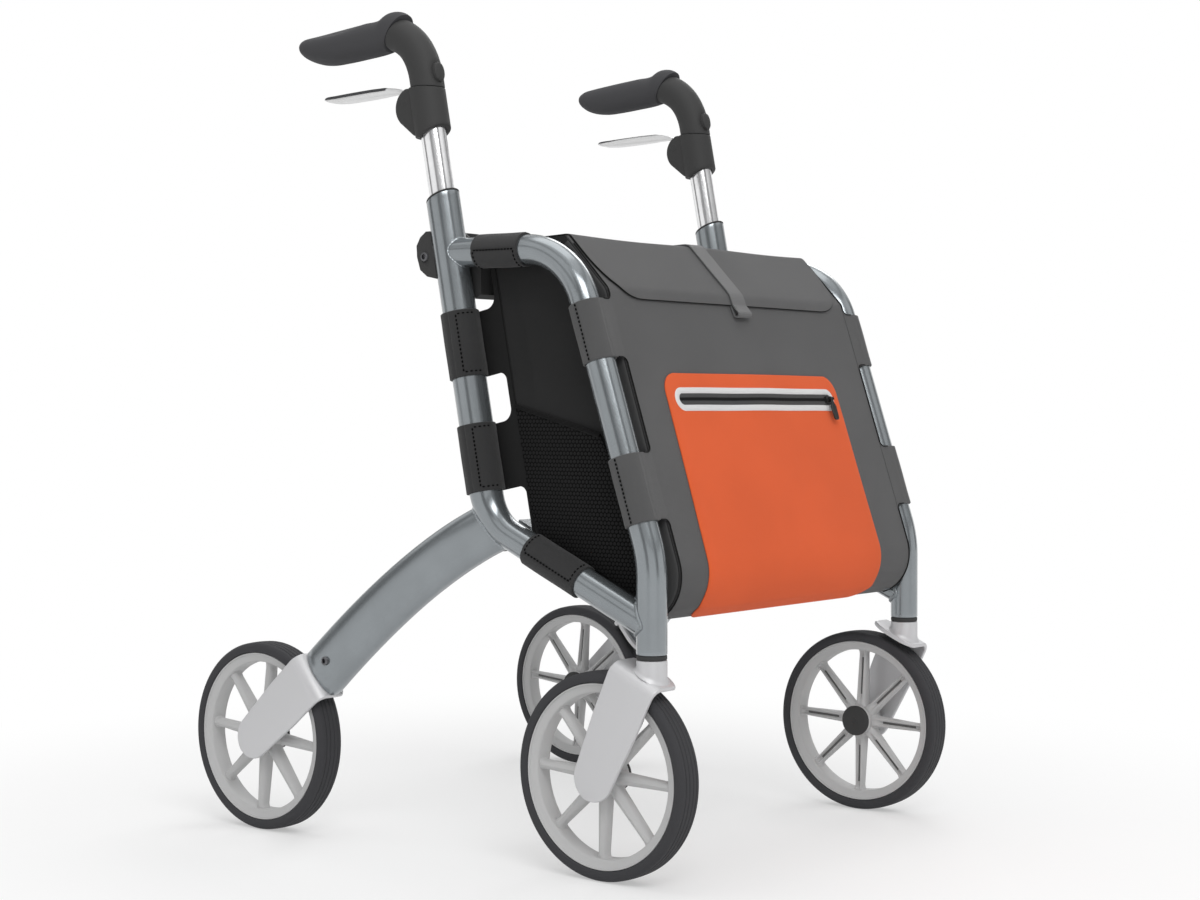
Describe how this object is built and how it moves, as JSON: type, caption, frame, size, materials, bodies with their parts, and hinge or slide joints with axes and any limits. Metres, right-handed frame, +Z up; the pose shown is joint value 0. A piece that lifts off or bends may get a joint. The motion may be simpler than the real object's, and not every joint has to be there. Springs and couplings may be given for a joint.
{
  "type": "shopping rollator",
  "caption": "Folding shopping rollator: two side frames with caster wheels, height-adjustable brake handles, folding crossbars and a fabric bag with flap and zipped front pocket.",
  "frame": {"origin": "on the floor under the middle of the object's outline, wheels standing on the floor", "axes": "+X the user's left, +Y to the rear where the user walks, +Z up"},
  "size_m": [0.5774, 0.638, 0.8578],
  "materials": {
    "frame_grey_paint": "metallic blue-grey powder coat",
    "fork_silver": "pale silver satin paint",
    "rim_silver": "moulded silver-grey",
    "handle_tube_polished": "polished, with two dark guide lines",
    "tyre_rubber": "dull dark grey",
    "black_plastic": "fine-grained black moulding",
    "grip_rubber": "soft charcoal",
    "screw_steel": "blackened",
    "bag_grey_fabric": "woven grey",
    "bag_black_fabric": "woven black",
    "mesh_black": "open black mesh",
    "pocket_orange": "woven orange",
    "strap_grey": "grey webbing",
    "crossbar_grey": "dark grey powder coat"
  },
  "bodies": {
    "right_frame": {"frame_right": "frame_grey_paint", "collar_right": "black_plastic", "leg_screw_right": "screw_steel", "upper_bracket_right": "black_plastic", "rear_bracket_right": "black_plastic", "fork_rear_right": "fork_silver", "bag_side_right": "bag_black_fabric", "mesh_pocket_right": "mesh_black", "bag_front": "bag_grey_fabric", "bag_back": "bag_black_fabric", "bag_floor": "bag_black_fabric", "front_pocket": "pocket_orange"},
    "left_frame": {"frame_left": "frame_grey_paint", "collar_left": "black_plastic", "leg_screw_left": "screw_steel", "upper_bracket_left": "black_plastic", "rear_bracket_left": "black_plastic", "fork_rear_left": "fork_silver", "bag_side_left": "bag_black_fabric", "mesh_pocket_left": "mesh_black"},
    "upper_bar_right": {"crossbar_upper_right": "crossbar_grey"},
    "upper_bar_left": {"crossbar_upper_left": "crossbar_grey"},
    "rear_bar_right": {"crossbar_rear_right": "crossbar_grey"},
    "rear_bar_left": {"crossbar_rear_left": "crossbar_grey"},
    "front_bar_right": {"crossbar_front_right": "crossbar_grey"},
    "front_bar_left": {"crossbar_front_left": "crossbar_grey"},
    "handle_right": {"handle_tube_right": "handle_tube_polished", "brake_housing_right": "black_plastic", "handle_neck_right": "black_plastic", "grip_right": "grip_rubber"},
    "button_right": {"release_button_right": "black_plastic"},
    "lever_right": {"brake_lever_right": "black_plastic"},
    "shoe_right": {"brake_shoe_right": "black_plastic"},
    "caster_right": {"fork_front_right": "fork_silver", "swivel_ring_right": "black_plastic"},
    "wheel_front_right": {"tyre_front_right": "tyre_rubber", "rim_front_right": "rim_silver", "hub_cap_front_right": "black_plastic"},
    "wheel_rear_right": {"tyre_rear_right": "tyre_rubber", "rim_rear_right": "rim_silver", "hub_cap_rear_right": "black_plastic"},
    "handle_left": {"handle_tube_left": "handle_tube_polished", "brake_housing_left": "black_plastic", "handle_neck_left": "black_plastic", "grip_left": "grip_rubber"},
    "button_left": {"release_button_left": "black_plastic"},
    "lever_left": {"brake_lever_left": "black_plastic"},
    "shoe_left": {"brake_shoe_left": "black_plastic"},
    "caster_left": {"fork_front_left": "fork_silver", "swivel_ring_left": "black_plastic"},
    "wheel_front_left": {"tyre_front_left": "tyre_rubber", "rim_front_left": "rim_silver", "hub_cap_front_left": "black_plastic"},
    "wheel_rear_left": {"tyre_rear_left": "tyre_rubber", "rim_rear_left": "rim_silver", "hub_cap_rear_left": "black_plastic"},
    "lid": {"flap": "bag_grey_fabric", "flap_strap": "strap_grey"},
    "slider": {"zip_slider": "screw_steel"},
    "puller": {"zip_puller": "screw_steel"}
  },
  "joints": [
    {"name": "fold", "type": "hinge", "parent": "right_frame", "child": "upper_bar_right", "pos_m": [-0.195, -0.0207, 0.6048], "axis": [0, -1, 0], "range_deg": [0, 75], "deforming": ["bag_front", "bag_back", "bag_floor", "front_pocket", "flap", "flap_strap"]},
    {"name": "upper_mid", "type": "hinge", "parent": "upper_bar_right", "child": "upper_bar_left", "pos_m": [0, -0.0207, 0.6048], "axis": [0, -1, 0], "range_deg": [-150, 0]},
    {"name": "upper_end", "type": "hinge", "parent": "upper_bar_left", "child": "left_frame", "pos_m": [0.195, -0.0207, 0.6048], "axis": [0, -1, 0], "range_deg": [0, 75]},
    {"name": "rear_fold", "type": "hinge", "parent": "right_frame", "child": "rear_bar_right", "pos_m": [-0.195, -0.056, 0.32251], "axis": [0, -0.4104, 0.9119], "range_deg": [0, 75]},
    {"name": "rear_mid", "type": "hinge", "parent": "rear_bar_right", "child": "rear_bar_left", "pos_m": [0, -0.056, 0.32251], "axis": [0, -0.4104, 0.9119], "range_deg": [-150, 0]},
    {"name": "front_fold", "type": "hinge", "parent": "right_frame", "child": "front_bar_right", "pos_m": [-0.195, -0.2578, 0.2669], "axis": [0, -0.4104, 0.9119], "range_deg": [0, 75]},
    {"name": "front_mid", "type": "hinge", "parent": "front_bar_right", "child": "front_bar_left", "pos_m": [0, -0.2578, 0.2669], "axis": [0, -0.4104, 0.9119], "range_deg": [-150, 0]},
    {"name": "handle_height_right", "type": "slide", "parent": "right_frame", "child": "handle_right", "axis": [0, 0.1937, 0.9811], "range_m": [-0.04, 0.08]},
    {"name": "handle_height_left", "type": "slide", "parent": "left_frame", "child": "handle_left", "axis": [0, 0.1937, 0.9811], "range_m": [-0.04, 0.08]},
    {"name": "button_press_right", "type": "slide", "parent": "handle_right", "child": "button_right", "axis": [0, 0.9811, -0.1937], "range_m": [0, 0.0025], "stiffness_N_per_m": 500, "springref_m": -0.002},
    {"name": "lever_pull_right", "type": "hinge", "parent": "handle_right", "child": "lever_right", "pos_m": [-0.2305, 0.0372, 0.7615], "axis": [1, 0, 0], "range_deg": [0, 14], "stiffness_Nm_per_rad": 0.8, "springref_deg": -6.88},
    {"name": "button_press_left", "type": "slide", "parent": "handle_left", "child": "button_left", "axis": [0, 0.9811, -0.1937], "range_m": [0, 0.0025], "stiffness_N_per_m": 500, "springref_m": -0.002},
    {"name": "lever_pull_left", "type": "hinge", "parent": "handle_left", "child": "lever_left", "pos_m": [0.2305, 0.0372, 0.7615], "axis": [1, 0, 0], "range_deg": [0, 14], "stiffness_Nm_per_rad": 0.8, "springref_deg": -6.88},
    {"name": "shoe_swing_right", "type": "hinge", "parent": "right_frame", "child": "shoe_right", "pos_m": [-0.2656, 0.15203, 0.1823], "axis": [1, 0, 0], "range_deg": [0, 5]},
    {"name": "caster_swivel_right", "type": "hinge", "parent": "right_frame", "child": "caster_right", "pos_m": [-0.2305, -0.2724, 0.219], "axis": [0, 0, 1], "continuous": true},
    {"name": "shoe_swing_left", "type": "hinge", "parent": "left_frame", "child": "shoe_left", "pos_m": [0.2656, 0.15203, 0.1823], "axis": [1, 0, 0], "range_deg": [0, 5]},
    {"name": "caster_swivel_left", "type": "hinge", "parent": "left_frame", "child": "caster_left", "pos_m": [0.2305, -0.2724, 0.219], "axis": [0, 0, 1], "continuous": true},
    {"name": "wheel_front_roll_right", "type": "hinge", "parent": "caster_right", "child": "wheel_front_right", "pos_m": [-0.2305, -0.219, 0.1], "axis": [1, 0, 0], "continuous": true},
    {"name": "wheel_rear_roll_right", "type": "hinge", "parent": "right_frame", "child": "wheel_rear_right", "pos_m": [-0.2656, 0.219, 0.1], "axis": [1, 0, 0], "continuous": true},
    {"name": "wheel_front_roll_left", "type": "hinge", "parent": "caster_left", "child": "wheel_front_left", "pos_m": [0.2305, -0.219, 0.1], "axis": [1, 0, 0], "continuous": true},
    {"name": "wheel_rear_roll_left", "type": "hinge", "parent": "left_frame", "child": "wheel_rear_left", "pos_m": [0.2656, 0.219, 0.1], "axis": [1, 0, 0], "continuous": true},
    {"name": "flap_open", "type": "hinge", "parent": "right_frame", "child": "lid", "pos_m": [0, -0.06, 0.6158], "axis": [-1, 0, 0], "range_deg": [0, 110]},
    {"name": "zip_slide", "type": "slide", "parent": "left_frame", "child": "slider", "axis": [1, 0, 0], "range_m": [-0.26, 0]},
    {"name": "puller_swing", "type": "hinge", "parent": "slider", "child": "puller", "pos_m": [0.129, -0.2462, 0.46053], "axis": [-1, 0, 0], "range_deg": [0, 120]}
  ],
  "couplings": [
    {"joint": "upper_mid", "follows": "fold", "ratio": -2},
    {"joint": "upper_end", "follows": "fold", "ratio": 1},
    {"joint": "rear_fold", "follows": "fold", "ratio": 1},
    {"joint": "rear_mid", "follows": "fold", "ratio": -2},
    {"joint": "front_fold", "follows": "fold", "ratio": 1},
    {"joint": "front_mid", "follows": "fold", "ratio": -2},
    {"joint": "shoe_swing_right", "follows": "lever_pull_right", "ratio": 0.357},
    {"joint": "shoe_swing_left", "follows": "lever_pull_left", "ratio": 0.357}
  ]
}
